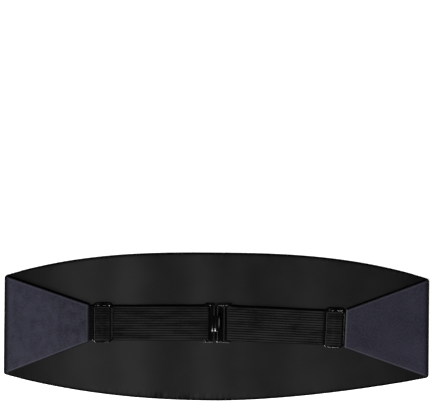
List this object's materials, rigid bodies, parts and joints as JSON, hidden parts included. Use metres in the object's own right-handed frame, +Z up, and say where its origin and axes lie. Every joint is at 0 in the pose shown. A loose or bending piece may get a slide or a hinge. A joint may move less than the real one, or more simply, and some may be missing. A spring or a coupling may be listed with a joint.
{
  "type": "cummerbund",
  "caption": "Pleated satin cummerbund lying closed and flat, back up: black lining, tapering side tabs, ribbed elastic waist strap with wire slides and a hook-and-ring clasp.",
  "frame": {"origin": "on the surface that the sash lies on, under the middle of its length and height", "axes": "+X along the sash towards the end on the viewer's right when the lining faces up, +Y towards the wearer's chest, +Z up from the surface, out of the lining"},
  "size_m": [0.376, 0.131, 0.0135],
  "materials": {
    "satin": "slate navy satin with a fine twill weave",
    "lining": "black lining satin",
    "elastic": "black elastic with lengthwise ribs",
    "hardware": "glossy black enamel"
  },
  "bodies": {
    "root": {"pleated_front": "satin", "lining": "lining", "side_tab_left": "satin", "side_tab_right": "satin", "elastic_left": "elastic", "elastic_right": "elastic", "slide_left": "hardware", "slide_right": "hardware", "clasp_hook": "hardware", "clasp_ring": "hardware"}
  },
  "joints": []
}
